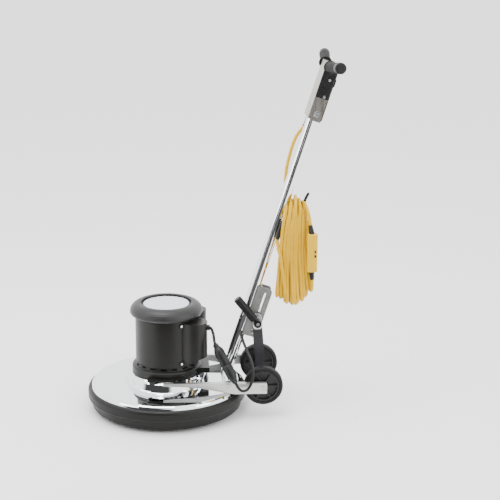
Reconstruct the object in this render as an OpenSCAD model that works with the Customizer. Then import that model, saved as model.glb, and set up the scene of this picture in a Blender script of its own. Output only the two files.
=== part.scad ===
// Single-disc floor burnisher: a motor on a chromed deck, with a pad below, two side arms,
// transport wheels and a tilting handle that is locked by a slotted bracket and a strut.
// Millimetres. Z is up, X points to the rear (towards the operator), Y to the machine's right.
// The origin is on the motor axis, on the floor.

/* [Deck] */
// Outer radius of the rubber bumper
bumper_r = 254; // [248:1:256]
// Height of the bumper's lower edge above the floor
skirt_z = 12; // [8:1:16]
// Radius of the chromed deck
deck_r = 243; // [238:0.5:243]
// Height of the deck at its hub
deck_z = 92; // [91:0.5:93]
// Radius of the pad
pad_r = 216; // [200:1:226]
// Thickness of the pad
pad_t = 26; // [20:1:26]

/* [Motor] */
// Outer radius of the motor drum
drum_r = 99.4; // [96:0.2:99.4]
// Height of the drum's lower edge
drum_z0 = 160; // [158:1:164]
// Height of the drum's upper edge, where the cap sits
drum_z1 = 313; // [305:1:316]
// Outer radius of the cap
cap_r = 116; // [112:1:118]
// Height of the cap's crown
cap_top = 351.5; // [348:0.5:356]
// Radius of the blank disc in the cap
disc_r = 72.7; // [68:0.1:74]
// Bearing of each capacitor cover from the rear, in degrees
cover_azimuth = 36; // [34:1:42]
// Radius of a capacitor cover's round back
cover_r = 40; // [36:1:42]

/* [Frame] */
// Distance from the middle plane to the inner face of each arm
arm_y = 132.2; // [132.2:0.1:134]
// Thickness of an arm
arm_t = 5; // [4:0.5:6]
// Position of the handle pivot along X
pivot_x = 192; // [190:0.2:194]
// Height of the handle pivot
pivot_z = 113.5; // [112.5:0.5:113.5]
// Position of the wheel axle along X
axle_x = 304.5; // [303:0.5:306]
// Height of the wheel axle
axle_z = 103.5; // [102.5:0.5:104.5]
// Wheel radius
wheel_r = 62; // [60:0.5:64]
// Wheel width
wheel_w = 29; // [26:1:29]
// Distance from the middle plane to each wheel's middle
wheel_y = 107; // [105:0.5:107]

/* [Handle] */
// Lean of the handle from the vertical
tilt = 17.75; // [17:0.25:18.5]
// Outer radius of the handle tube
tube_r = 17.5; // [17:0.1:17.5]
// Radius of a grip
grip_r = 17; // [15:0.5:18]
// Half the span over the ends of both grips
grip_end_y = 200; // [190:5:210]
// Distance along the handle from its pivot to the clamp bolt
bolt_s = 197; // [195:1:199]
// Distance of the clamp bolt behind the tube's centre line
bolt_d = 38.9; // [38:0.1:40]
// Half the width of the head
head_y = 50; // [48:1:52]

/* [Cords] */
// Diameter of the power cord
cord_d = 10.5; // [9:0.5:11]
// Diameter of the motor lead
lead_d = 9; // [8:0.5:9]

/* [Hidden] */

$fn = 96;
gap = 0.3;              // space between bodies that pass each other
run = 0.05;             // radial clearance of a running fit
wall = 2.5;             // moulded and pressed walls
shaft_r = 8.5;          // motor shaft
axle_r = 8;             // wheel axle
pin_r = 6;              // handle pivot shaft
clamp_r = 5;            // clamp bolt
base_z0 = 125;          // underside of the motor base, on the riser collar
base_r = 111;           // radius of the motor base ring
recess_z = 343.5;       // floor of the recess in the cap
pin_at = 35.2;          // distance of the pad driver's pins from the motor axis
arm_top = 123;          // height of the arms' folded flange
flange_y = 123;         // distance from the middle plane to that flange's inner edge
ear_x = [30, 52];       // places along X of the bolts that hold the arms
ear_y = 127.6;
arm_out = arm_y + arm_t;
w = wheel_w / 2;
rim_r = wheel_r - 13;
clamp_x = pivot_x + bolt_s * sin(tilt) + bolt_d * cos(tilt);
clamp_z = pivot_z + bolt_s * cos(tilt) - bolt_d * sin(tilt);
strut_len = norm([clamp_x - axle_x, clamp_z - axle_z]);
strut_lean = atan2(clamp_x - axle_x, clamp_z - axle_z);
slot_r = 6.25;          // half the width of the bracket's slot
slot_s0 = 157;          // ends of the slot, along the handle
slot_s1 = 288;
bracket_s0 = 141;
bracket_s1 = 308.5;
bracket_d = 56;       // rear edge of the bracket, behind the tube's centre line
bracket_y = 20.8;       // outer face of each bracket cheek
strut_y = 24.3;         // inner face of each strut cheek
strut_w = 30;
head_s0 = 865;          // ends of the head, along the handle
head_s1 = head_s0 + 181;
head_bolt_s = head_s0 + 22;     // the cross bolt that holds the head on the tube
panel_screw_s = [head_s0 + 79, head_s0 + 132];
cover_screw_s = [head_s0 + 18, head_s0 + 171];
reset_s = head_s0 + 98;
lock_s = head_s0 + 128;
reset_d = -4;
head_d0 = -21;          // front and rear of the head
head_d1 = 20;
grip_s = head_s0 + 163;          // where the grip bar crosses the head
grip_d = -11;
grip_sweep = 20;        // how far a grip's end is above its root
grip_back = 10;         // and behind it
trigger_s = head_s0 + 149;       // trigger pivot
trigger_d = 13;
hook_r = 4.5;
plug_s = 474;           // where the cord enters the plug, along the handle

// Power cord from the head to the hank: [behind the tube's centre line, right, along the tube]
cord_route = [[-10, 34, 830], [-17, 34, 814], [-24, 33, 792], [-26, 32, 760], [-24, 32, 720],
    [-20, 31, 684], [-12, 31, 649], [0, 32, 620], [14, 30, 598], [25, 24, 582]];
// The cord's last stretch, from the hank up to the plug, in the same terms
tail_route = [[38, -46, 430], [30, -42, 440], [22, -34, 454], [14, -28, 474]];
// Motor lead from the left capacitor cover to the connector, in X, Y, Z
lead_route = [[137, -62, 283], [143, -65, 277], [148, -77, 262], [150, -90, 247], [152, -98, 240]];
// The same lead from the connector to the handle tube
loop_route = [[214, -156, 131], [222, -159, 116], [235, -159, 105], [251, -155, 108],
    [264, -149, 127], [270, -139, 155], [266, -122, 184], [256, -98, 207], [246, -70, 227],
    [239, -45, 243], [236.2, -28, 251], [236.2, -14, 251.6]];
connector_a = [152, -98, 240];
connector_b = [214, -156, 131];

function unit(v) = v / norm(v);
function spline(a, b, c, d, t) = 0.5 * (2 * b + (c - a) * t + (2 * a - 5 * b + 4 * c - d) * t * t
    + (3 * b - a - 3 * c + d) * t * t * t);
// A smooth curve through the points of a route, with steps rings for each stretch
function smooth(route, steps) = let (last = len(route) - 1) [
    for (i = [0:last - 1], k = [0:steps - 1])
        spline(route[max(i - 1, 0)], route[i], route[i + 1], route[min(i + 2, last)], k / steps),
    route[last]];

// A closed round tube along a path
module tube_along(path, r, sides = 10) {
    last = len(path) - 1;
    ahead = [for (i = [0:last]) unit(path[min(i + 1, last)] - path[max(i - 1, 0)])];
    side = [for (t = ahead) unit(cross(t, [0, 1, 0]))];
    over = [for (i = [0:last]) cross(side[i], ahead[i])];
    polyhedron(
        points = [for (i = [0:last], k = [0:sides - 1])
            path[i] + r * (cos(360 * k / sides) * side[i] + sin(360 * k / sides) * over[i])],
        faces = concat(
            [[for (k = [0:sides - 1]) k]],
            [for (i = [0:last - 1], k = [0:sides - 1]) let (n = (k + 1) % sides)
                [i * sides + k, (i + 1) * sides + k, (i + 1) * sides + n, i * sides + n]],
            [[for (k = [sides - 1:-1:0]) last * sides + k]]));
}

// Local frame of the handle: X behind the tube's centre line, Z along the tube from its pivot
module on_handle() translate([pivot_x, 0, pivot_z]) rotate([0, tilt, 0]) children();
// Local frame of the strut: Z from the axle towards the clamp bolt
module on_strut() translate([axle_x, 0, axle_z]) rotate([0, strut_lean, 0]) children();
// A round bar along Y between two places
module bar_y(r, y0, y1) translate([0, y1, 0]) rotate([90, 0, 0]) cylinder(r = r, h = y1 - y0);
// A flat outline in X and Z, raised along Y between two places
module plate_y(y0, y1) translate([0, y1, 0]) rotate([90, 0, 0]) linear_extrude(y1 - y0) children();
// A round bar between two points
module bar_between(a, b, r0, r1) {
    v = b - a;
    translate(a) rotate([0, acos(v[2] / norm(v)), atan2(v[1], v[0])])
        cylinder(r1 = r0, r2 = r1, h = norm(v));
}
module ring(r0, r1, z0, z1) translate([0, 0, z0]) difference() {
    cylinder(r = r1, h = z1 - z0);
    translate([0, 0, -1]) cylinder(r = r0, h = z1 - z0 + 2);
}
module both_sides() {
    children();
    mirror([0, 1, 0]) children();
}

// ---- deck ----

module bumper() color([0.13, 0.13, 0.12]) rotate_extrude($fn = 180) polygon([
    [231.5, skirt_z], [237.5, skirt_z], [239.5, skirt_z + 2], [246.5, 38], [246.5, 41], [251, 42],
    [bumper_r, 46], [bumper_r, 66], [251.5, 72.5], [246.5, 76], [deck_r + 0.2, 76],
    [deck_r + 0.2, 47], [234, 47], [231.5, 44]]);

module deck_shell() color([0.85, 0.87, 0.9]) rotate_extrude($fn = 180) polygon([
    [deck_r, 47], [deck_r, 77], [deck_r - 1.5, 82], [deck_r - 4, 86], [deck_r - 8, 88.5],
    [deck_r - 13, 89.5], [140, deck_z], [112, deck_z], [112, deck_z - 3], [140, deck_z - 3],
    [deck_r - 14, 86.5], [deck_r - 9, 85], [deck_r - 5, 81], [deck_r - 3, 76], [deck_r - 3, 47]]);

module riser_collar() color([0.82, 0.83, 0.85]) rotate_extrude($fn = 144) polygon([
    [135, deck_z], [133.5, 95], [131.5, 101], [129.5, 108], [127.3, 115], [122.3, 119.6],
    [119, base_z0 - 0.6], [115, base_z0], [104, base_z0], [104, 122], [117, 122], [121, 118],
    [124, 112], [126, 106], [128.5, 99], [130, deck_z]]);

// ---- motor ----

// Cast ring with a spoked web, a bearing boss, vent slots and an ear on each side for the arms
module motor_base() color([0.09, 0.09, 0.09]) {
    vents = 18;
    difference() {
        union() {
            rotate_extrude() polygon([[90, base_z0], [base_r - 1, base_z0], [base_r, 127],
                [base_r, 144], [base_r - 3, 148], [102, 150], [drum_r + 1, drum_z0],
                [93, drum_z0], [93, 131], [90, 131]]);
            ring(shaft_r + 4, 30, 128, 134);
            ring(23.5, 30, 133, 151);
            for (k = [0:5]) rotate([0, 0, k * 60 + 30]) translate([28, -6, 128]) cube([68, 12, 6]);
        }
        for (k = [0:vents - 1]) rotate([0, 0, k * 360 / vents + 4]) translate([90, 0, 153.5])
            translate([0, -9, 0]) cube([20, 18, 4.5]);
    }
    both_sides() {
        translate([-62, -flange_y, base_z0 + gap]) cube([122, flange_y - 98, 5.7]);
        difference() {
            translate([20, -arm_y, arm_top]) cube([40, 12, 5]);
            for (x = ear_x) translate([x, -ear_y, 100]) cylinder(r = 3.05, h = 40);
        }
    }
    translate([96, -48, base_z0 + gap]) difference() {
        cube([40, 96, 17]);
        translate([-96, 48, -10]) cylinder(r = base_r - 4, h = 40);
    }
}

// Places of the screws that hold both capacitor covers, with Z pointing out of the drum
module at_cover_screws() for (a = [-1, 1], e = [-27, 25.8], z = [173, 298])
    rotate([0, 0, a * cover_azimuth + e]) translate([drum_r + 3.2, 0, z]) rotate([0, 90, 0])
        children();

module motor_drum() color([0.13, 0.13, 0.12]) difference() {
    ring(drum_r - wall - 0.5, drum_r, drum_z0, drum_z1);
    at_cover_screws() translate([0, 0, -12]) cylinder(r = 2.05, h = 12);
    for (a = [-1, 1]) rotate([0, 0, a * cover_azimuth]) translate([80, 0, 250])
        rotate([0, 90, 0]) cylinder(r = 7, h = 30);
}

// Bearing plate inside the top of the drum
module upper_end_bell() color([0.35, 0.35, 0.36]) {
    ring(20, 30, 292, 306);
    difference() {
        ring(25, drum_r - wall - 0.7, 300, 305);
        for (k = [0:5]) rotate([0, 0, k * 60]) translate([62, 0, 295]) cylinder(r = 15, h = 20);
    }
    ring(88, drum_r - wall - 0.7, 296, 312);
}

module motor_cap() color([0.23, 0.23, 0.23]) difference() {
    rotate_extrude($fn = 144) polygon([
        [drum_r - 3, drum_z1], [108, drum_z1], [112.5, 315.5], [cap_r - 0.7, 319.5],
        [cap_r, 323], [cap_r - 0.7, 329], [112.8, 336], [108, 342], [102, 346.8],
        [95, 350], [88, cap_top], [83, cap_top], [80.5, 350.3], [80, 348.5], [80, recess_z],
        [0, recess_z], [0, recess_z - 3], [82, recess_z - 3], [98, 344], [106, 337],
        [110, 329], [110, 321], [104, drum_z1 + 3], [drum_r - 3, drum_z1 + 3]]);
    for (k = [0:3]) rotate([0, 0, k * 90 + 45]) translate([76.4, 0, recess_z - 5])
        cylinder(r = 2.05, h = 10);
}

module cap_disc() color([0.86, 0.87, 0.9]) rotate_extrude($fn = 144) polygon([
    [0, recess_z], [disc_r, recess_z], [disc_r, recess_z + 3], [disc_r - 1, recess_z + 3.6],
    [0, recess_z + 4.2]]);

module cap_screws() color([0.1, 0.1, 0.1]) for (k = [0:3]) rotate([0, 0, k * 90 + 45])
    translate([76.4, 0, recess_z]) {
        cylinder(r = 3, h = 2);
        translate([0, 0, -12]) cylinder(r = 2, h = 12);
    }

module stator_core() color([0.5, 0.5, 0.52]) difference() {
    ring(46, drum_r - wall - 0.8, 188, 272);
    for (k = [0:23]) rotate([0, 0, k * 15]) translate([44, -2, 180]) cube([30, 4, 100]);
}

module stator_windings() color([0.72, 0.35, 0.14]) {
    ring(54, 86, 164, 187.7);
    ring(54, 86, 272.3, 290);
}

module bearing(bore, outer, z0, z1) {
    ring(bore, bore + 3, z0, z1);
    ring(outer - 3, outer, z0, z1);
    ring(bore + 3, outer - 3, z0 + 1, z1 - 1);
}
module lower_bearing() color([0.75, 0.76, 0.78]) bearing(shaft_r + run, 23.4, 136, 150);
module upper_bearing() color([0.75, 0.76, 0.78]) bearing(shaft_r + run, 19.9, 293, 305);

// Deep drawn cover over a capacitor, with a tapered foot and ears for its screws
module capacitor_cover(side) rotate([0, 0, side * cover_azimuth]) {
    middle = 110;
    foot = 166;
    head = 305;
    difference() {
        translate([0, 0, foot]) linear_extrude(head - foot) {
            translate([middle, 0]) circle(r = cover_r);
            translate([80, -cover_r]) square([middle - 80, 2 * cover_r]);
        }
        translate([0, 0, foot + wall]) linear_extrude(head - foot - 2 * wall) {
            translate([middle, 0]) circle(r = cover_r - wall);
            translate([70, wall - cover_r]) square([middle - 70, 2 * (cover_r - wall)]);
        }
        translate([0, 0, 100]) cylinder(r = drum_r + 0.2, h = 300);
        translate([middle - 8, -60, foot - 22]) rotate([0, -24, 0]) cube([90, 120, 24]);
        if (side < 0) rotate([0, 0, cover_azimuth]) translate([90, -62, 283])
            rotate([0, 90, 0]) cylinder(r = 6, h = 80);
    }
    for (z = [foot + 2, head - 12], a = [-30, 22.8]) rotate([0, 0, a]) translate([0, 0, z])
        difference() {
            rotate_extrude(angle = 7.2) translate([drum_r + 0.2, 0]) square([3, 10]);
            rotate([0, 0, 3]) translate([90, 0, 5]) rotate([0, 90, 0]) cylinder(r = 2.05, h = 20);
        }
    if (side < 0) rotate([0, 0, cover_azimuth]) difference() {
        translate([127.5, -62, 283]) rotate([0, 90, 0]) cylinder(r = 9, h = 9.5);
        translate([90, -62, 283]) rotate([0, 90, 0]) cylinder(r = 6, h = 80);
        rotate([0, 0, -cover_azimuth]) translate([middle, 0, 200])
            cylinder(r = cover_r - wall, h = 90);
    }
}
module left_capacitor_cover() color([0.12, 0.12, 0.11]) capacitor_cover(-1);
module right_capacitor_cover() color([0.12, 0.12, 0.11]) capacitor_cover(1);

module capacitors() color([0.2, 0.22, 0.28]) for (a = [-1, 1]) rotate([0, 0, a * cover_azimuth])
    translate([124, 0, 0]) {
        translate([0, 0, 190]) cylinder(r = 20, h = 90);
        for (y = [-7, 7]) translate([0, y, 280]) cylinder(r = 2.5, h = 9);
    }

module cover_screws() color([0.8, 0.8, 0.82]) at_cover_screws() {
    cylinder(r = 3.6, h = 2.4);
    translate([0, 0, -5.9]) cylinder(r = 2, h = 5.9);
}

// ---- side arms, pivot shaft and axle ----

// Folded steel arm: a tapered web with a flange along its top
module arm() {
    end = axle_x + 9.5;
    top = [[-12, arm_top], [150, arm_top], [end, 120.5]];
    difference() {
        union() {
            plate_y(arm_y, arm_out) polygon(concat(top, [[end, 86], [215, 86], [200, 87.5],
                [181, 91], [147, 98.5], [103, 107.5], [60, 112], [-12, 115]]));
            plate_y(flange_y, arm_y + 1) polygon(concat(top,
                [[end, 117.5], [150, arm_top - 3], [-12, arm_top - 3]]));
        }
        translate([pivot_x, 0, pivot_z]) bar_y(pin_r + run, 100, 150);
        translate([axle_x, 0, axle_z]) bar_y(axle_r + run, 100, 150);
        for (x = ear_x) translate([x, ear_y, 100]) cylinder(r = 3.05, h = 40);
    }
}
module left_arm() color([0.72, 0.73, 0.74]) mirror([0, 1, 0]) arm();
module right_arm() color([0.72, 0.73, 0.74]) arm();

module arm_bolts() color([0.12, 0.12, 0.12]) both_sides() for (x = ear_x)
    translate([x, ear_y, 0]) {
        translate([0, 0, 116]) cylinder(r = 3, h = 15);
        translate([0, 0, 116]) cylinder(r = 4.5, h = 4);
        translate([0, 0, arm_top + 5]) cylinder(r = 4.4, h = 3.5);
    }

module pivot_shaft() color([0.62, 0.63, 0.65]) translate([pivot_x, 0, pivot_z]) {
    bar_y(pin_r, -arm_out - 0.5, arm_out + 0.5);
    both_sides() difference() {
        bar_y(7.5, arm_out, arm_out + 3);
        bar_y(2.5, arm_out + 1.5, arm_out + 6);
    }
}

module axle() color([0.62, 0.63, 0.65]) translate([axle_x, 0, axle_z]) {
    bar_y(axle_r, -arm_out - 0.5, arm_out + 0.5);
    both_sides() difference() {
        bar_y(8.5, arm_out, arm_out + 2.5);
        bar_y(4, arm_out + 1, arm_out + 6);
    }
}

module axle_spacers() color([0.6, 0.6, 0.62]) translate([axle_x, 0, axle_z]) both_sides() {
    difference() {
        bar_y(11, 28, wheel_y - wheel_w / 2 - 1.5);
        bar_y(axle_r, 20, 100);
    }
    difference() {
        bar_y(11, wheel_y + wheel_w / 2 + 1.5, arm_y);
        bar_y(axle_r, 100, 140);
    }
}

// ---- motor lead ----

module motor_lead() color([0.06, 0.06, 0.06]) tube_along(smooth(lead_route, 2), lead_d / 2, 8);

module lead_connector() color([0.08, 0.08, 0.08]) {
    a = connector_a;
    v = unit(connector_b - connector_a);
    length = norm(connector_b - connector_a);
    bar_between(a, a + v * 14, 9, 12);
    bar_between(a + v * 14, a + v * 24, 12, 16);
    bar_between(a + v * 24, a + v * 70, 16, 16);
    bar_between(a + v * 70, a + v * 74, 17, 17);
    bar_between(a + v * 74, a + v * 116, 16, 16);
    bar_between(a + v * 116, a + v * 126, 16, 12);
    bar_between(a + v * 126, a + v * length, 12, 9);
}

module lead_loop() color([0.06, 0.06, 0.06]) tube_along(smooth(loop_route, 2), lead_d / 2, 8);

// ---- spinning parts ----

module motor_shaft() color([0.7, 0.7, 0.72]) {
    translate([0, 0, 46]) cylinder(r = shaft_r, h = 290);
    ring(shaft_r - 0.5, 13, 155, 162);
}

module rotor_core() color([0.55, 0.55, 0.57]) {
    ring(shaft_r, 45.2, 190, 270);
    ring(30, 44, 182, 190);
    ring(30, 44, 270, 278);
}

module cooling_fan() color([0.16, 0.16, 0.17]) {
    ring(shaft_r, 18, 314, 334);
    ring(17, 78, 316, 318.5);
    for (k = [0:8]) rotate([0, 0, k * 40]) translate([17, -1.2, 318]) cube([60, 2.4, 15]);
}

module drive_hub() color([0.6, 0.6, 0.62]) difference() {
    union() {
        translate([0, 0, 44]) cylinder(r = 45, h = 8);
        translate([0, 0, 52]) cylinder(r = 22, h = 22);
    }
    translate([0, 0, 40]) cylinder(r = shaft_r, h = 50);
    for (k = [0:2]) rotate([0, 0, k * 120]) translate([pin_at, 0, 40]) cylinder(r = 4.05, h = 20);
}

module pad_driver() color([0.2, 0.22, 0.24]) {
    difference() {
        translate([0, 0, pad_t]) cylinder(r = pad_r - 6, h = 18);
        translate([0, 0, pad_t - 1]) cylinder(r = 40.3, h = 30);
        ring(60, pad_r - 26, pad_t + 8, pad_t + 30);
    }
    for (k = [0:2]) rotate([0, 0, k * 120]) {
        translate([pin_at, 0, pad_t + 8]) cylinder(r = 4, h = 18);
        translate([59, -8, pad_t + 7.9]) cube([pad_r - 26 - 58, 16, 10]);
    }
    ring(30, 40.4, pad_t + 8, 44);
}

module pad() color([0.75, 0.2, 0.17]) ring(41.5, pad_r, 0, pad_t);

module pad_retainer() color([0.85, 0.7, 0.15]) {
    translate([0, 0, 6]) cylinder(r = 38, h = 6);
    translate([0, 0, 12]) cylinder(r = 29.5, h = 32);
}

// ---- wheels ----

module tyre() translate([axle_x, 0, axle_z]) rotate([-90, 0, 0]) translate([0, 0, wheel_y])
    rotate_extrude($fn = 120) polygon([
        [rim_r, 3 - w], [rim_r + 3, -w], [wheel_r - 5, -w], [wheel_r - 1.5, 2 - w],
        [wheel_r, 6 - w], [wheel_r, w - 6], [wheel_r - 1.5, w - 2],
        [wheel_r - 5, w], [rim_r + 3, w], [rim_r, w - 3]]);
module wheel_hub() translate([axle_x, 0, axle_z]) rotate([-90, 0, 0]) translate([0, 0, wheel_y]) {
    ring(rim_r - 4.5, rim_r, -w + 1.5, w - 1.5);
    ring(axle_r + run, 15, -w - 1, w + 1);
    difference() {
        ring(14.9, rim_r - 4.4, -3, 3);
        for (k = [0:5]) rotate([0, 0, k * 60 + 30]) translate([31, 0, -5]) cylinder(r = 6, h = 10);
    }
    for (k = [0:5]) rotate([0, 0, k * 60]) translate([14, -2, -w + 3]) cube([rim_r - 18, 4, 2 * w - 6]);
}
module left_tyre() color([0.2, 0.2, 0.2]) mirror([0, 1, 0]) tyre();
module right_tyre() color([0.2, 0.2, 0.2]) tyre();
module left_hub() color([0.36, 0.36, 0.36]) mirror([0, 1, 0]) wheel_hub();
module right_hub() color([0.36, 0.36, 0.36]) wheel_hub();

// ---- handle ----

// Chromed tube welded to a cross sleeve that turns on the pivot shaft
module handle_tube() color([0.85, 0.87, 0.9]) on_handle() difference() {
    union() {
        cylinder(r = tube_r, h = head_s0 + 88);
        bar_y(13, 0.5 - flange_y, flange_y - 0.5);
    }
    translate([0, 0, 14]) cylinder(r = tube_r - 2.5, h = head_s0 + 80);
    bar_y(pin_r + run, -140, 140);
    translate([0, 0, head_bolt_s]) bar_y(5.05, -30, 30);
    translate([0, 0, 145]) bar_y(5.5, -30, 0);
}

// Two steel cheeks and a web, welded behind the tube, with a long slot for the clamp bolt
module slotted_bracket() color([0.55, 0.55, 0.56]) on_handle() {
    corner = 12;
    both_sides() difference() {
        plate_y(tube_r + 0.2, bracket_y) {
            translate([6, bracket_s0]) square([bracket_d - 6, bracket_s1 - corner - bracket_s0]);
            translate([6, bracket_s0]) square([bracket_d - 6 - corner, bracket_s1 - bracket_s0]);
            translate([bracket_d - corner, bracket_s1 - corner]) circle(r = corner);
        }
        translate([0, bracket_y + 1, 0]) rotate([90, 0, 0]) linear_extrude(10) {
            translate([bolt_d - slot_r, slot_s0]) square([2 * slot_r, slot_s1 - slot_s0]);
            translate([bolt_d, slot_s0]) circle(r = slot_r);
            translate([bolt_d, slot_s1]) circle(r = slot_r);
        }
    }
    translate([tube_r + 0.2, -tube_r - 0.3, bracket_s0]) cube([3, 2 * tube_r + 0.6, 168]);
}

// Folded steel housing, open at the rear
module head_channel() color([0.7, 0.7, 0.7]) on_handle() difference() {
    translate([head_d0, -head_y, head_s0]) cube([head_d1 - head_d0, 2 * head_y,
        head_s1 - head_s0]);
    translate([head_d0 + wall, wall - head_y, head_s0 + 8 + wall])
        cube([60, 2 * (head_y - wall), head_s1 - head_s0 - 8 - 2 * wall]);
    translate([head_d0 + wall, wall - head_y, head_s0 - 1]) cube([60, 2 * (head_y - wall), 9]);
    translate([head_d0 - 1, -head_y - 1, head_s0 - 1]) cube([9, 2 * head_y + 2, 5]);
    cylinder(r = tube_r + 0.2, h = head_s0 + 48);
    translate([-4, 34, head_s0 - 20]) cylinder(r = 8.05, h = 50);
    translate([0, 0, head_bolt_s]) bar_y(5.05, -60, 60);
    both_sides() {
        on_grip() cylinder(r = 7.05, h = 60);
        for (s = panel_screw_s) translate([5, 0, s]) bar_y(2.05, 0, 60);
    }
    translate([reset_d, 0, reset_s]) bar_y(8.1, -60, 0);
}

// Moulded side panels that carry the grips' flanges
module head_side_panels() color([0.07, 0.07, 0.07]) on_handle() both_sides() difference() {
    translate([head_d0 + 1, head_y, head_s0 + 73]) cube([39, 3, 105]);
    on_grip() cylinder(r = 7.05, h = 60);
    translate([reset_d, 0, reset_s]) bar_y(8.1, 0, 60);
    for (s = panel_screw_s) translate([5, 0, s]) bar_y(2.05, 0, 60);
}

module head_rear_cover() color([0.07, 0.07, 0.07]) on_handle() difference() {
    translate([head_d1, -head_y, head_s0 + 6]) cube([2.5, 2 * head_y, head_s1 - head_s0 - 6]);
    for (y = [-45, 13]) translate([0, y, trigger_s - 43]) cube([40, 32, 45]);
    translate([0, 0, lock_s]) rotate([0, 90, 0]) cylinder(r = 7.1, h = 40);
    for (y = [-40, 40], s = cover_screw_s) translate([0, y, s]) rotate([0, 90, 0])
        cylinder(r = 2.05, h = 40);
}

// The cross bolt that holds the head on the tube, and the small panel and cover screws
module head_bolts() color([0.6, 0.6, 0.6]) on_handle() {
    translate([0, 0, head_bolt_s]) {
        bar_y(5, -head_y - 1, head_y + 1);
        both_sides() difference() {
            bar_y(11, head_y, head_y + 2.5);
            bar_y(4, head_y + 1, head_y + 4);
        }
    }
    both_sides() for (s = panel_screw_s) translate([5, 0, s]) {
        bar_y(2, head_y - 2, head_y + 3);
        bar_y(4.2, head_y + 3, head_y + 5);
    }
    for (y = [-40, 40], s = cover_screw_s) translate([head_d1 - 2, y, s]) rotate([0, 90, 0]) {
        cylinder(r = 2, h = 4.5);
        translate([0, 0, 4.5]) cylinder(r = 4, h = 1.8);
    }
}

// Local frame of one grip: Z runs out from the head's middle
module on_grip() translate([grip_d, 0, grip_s]) rotate([0, 0, -atan2(grip_back, 160)])
    rotate([-90 + atan2(grip_sweep, 160), 0, 0]) children();
grip_len = grip_end_y / cos(atan2(grip_sweep, 160));

module grip_bar() color([0.45, 0.45, 0.46]) on_handle() both_sides() on_grip() {
    cylinder(r = 7, h = 56);
    translate([0, 0, 55]) cylinder(r = 12, h = grip_len - 63);
}

module grip() on_grip() difference() {
    union() {
        translate([0, 0, 59]) cylinder(r = grip_r + 3.5, h = 4);
        translate([0, 0, 63]) cylinder(r = grip_r - 1, h = grip_len - 66);
        translate([0, 0, grip_len - 30]) cylinder(r = grip_r, h = 27);
        translate([0, 0, grip_len - 3]) cylinder(r1 = grip_r, r2 = grip_r - 3, h = 3);
    }
    cylinder(r = 12, h = grip_len - 8);
}
module left_grip() color([0.14, 0.14, 0.14]) on_handle() mirror([0, 1, 0]) grip();
module right_grip() color([0.14, 0.14, 0.14]) on_handle() grip();

module switch_block() color([0.15, 0.25, 0.5]) on_handle() {
    translate([-17, -30, trigger_s - 53]) cube([19, 60, 40]);
    for (y = [-26, 20]) translate([2, y, trigger_s - 37]) cube([1, 6, 10]);
    translate([trigger_d, 0, trigger_s]) bar_y(2, -47.4, 47.4);
}

// Rocker paddle behind the head, turning on the cross pin
module trigger() on_handle() difference() {
    union() {
        translate([trigger_d, 0, trigger_s]) plate_y(14, 44) polygon([[-5, -2], [-5, 2], [4, 1],
            [13.5, -13], [13.5, -31], [8, -40], [-4, -38]]);
        translate([trigger_d, 0, trigger_s]) bar_y(5, 14, 44);
    }
    translate([trigger_d, 0, trigger_s]) bar_y(2 + run, 0, 60);
}
module left_trigger() color([0.1, 0.1, 0.1]) mirror([0, 1, 0]) trigger();
module right_trigger() color([0.1, 0.1, 0.1]) trigger();

module lock_button() color([0.75, 0.12, 0.1]) on_handle() translate([8, 0, lock_s])
    rotate([0, 90, 0]) {
        cylinder(r = 7, h = 18);
        cylinder(r = 9, h = 5);
    }

module reset_button() color([0.1, 0.1, 0.1]) on_handle() translate([reset_d, 0, reset_s]) {
    bar_y(8, -56, -42);
    bar_y(10, -46, -42);
}

// Threaded gland with a tapered sleeve, under the head's floor
module cord_gland() color([0.08, 0.08, 0.08]) on_handle() translate([-4, 34, 0]) {
    translate([0, 0, head_s0]) cylinder(r = 8, h = 16);
    translate([0, 0, head_s0 - 4]) cylinder(r = 11, h = 12);
    bar_between([-6, 0, head_s0 - 36], [0, 0, head_s0 - 3], 6.6, 9);
}

// Bent rod behind the tube
module cord_hook() color([0.06, 0.06, 0.06]) {
    bar_between([375, 0, 641], [431, 0, 640], hook_r, hook_r);
    translate([431, 0, 640]) sphere(r = hook_r + 0.4, $fn = 32);
    bar_between([431, 0, 640], [438, 0, 680], hook_r, hook_r);
    translate([438, 0, 680]) sphere(r = hook_r + 0.4, $fn = 32);
    bar_between([438, 0, 680], [449, 0, 701], hook_r, hook_r);
    translate([449, 0, 701]) sphere(r = hook_r + 0.4, $fn = 32);
    on_handle() translate([tube_r - 1, 0, 559]) difference() {
        translate([0, -9, -14]) cube([4, 18, 28]);
        translate([1 - tube_r, 0, -20]) cylinder(r = tube_r, h = 40);
    }
}

module power_cord() color([0.92, 0.72, 0.12]) on_handle() {
    tube_along(smooth(cord_route, 2), cord_d / 2);
    tube_along(smooth(tail_route, 2), cord_d / 2);
}

// Outline of the hank that hangs on the hook
module cord_hank() color([0.92, 0.72, 0.12]) difference() {
    plate_y(-45, 45) {
        polygon([[388, 648], [366, 595], [352, 530], [362, 440], [374, 375], [386, 352],
            [445, 352], [462, 390], [466, 470], [462, 560], [446, 615], [427, 655], [400, 664]]);
        translate([407, 655]) circle(r = 20);
        translate([398, 362]) circle(r = 24);
        translate([436, 366]) circle(r = 25);
    }
    on_handle() translate([-20, -60, plug_s - 6]) cube([44.2, 42, 86]);
}

module protection_box() color([0.95, 0.76, 0.16]) {
    difference() {
        translate([441, -77, 464]) cube([32, 31, 122]);
        for (x = [441, 473]) translate([x, -77, 460]) rotate([0, 0, 45])
            translate([-3, -3, 0]) cube([6, 6, 130]);
    }
    translate([0, 0, 586]) bar_between([455, -61, 0], [450, -58, 27], 9.5, 7);
    translate([0, 0, 437]) bar_between([459, -58, 0], [456, -61, 27.2], 7, 9.5);
}

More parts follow.
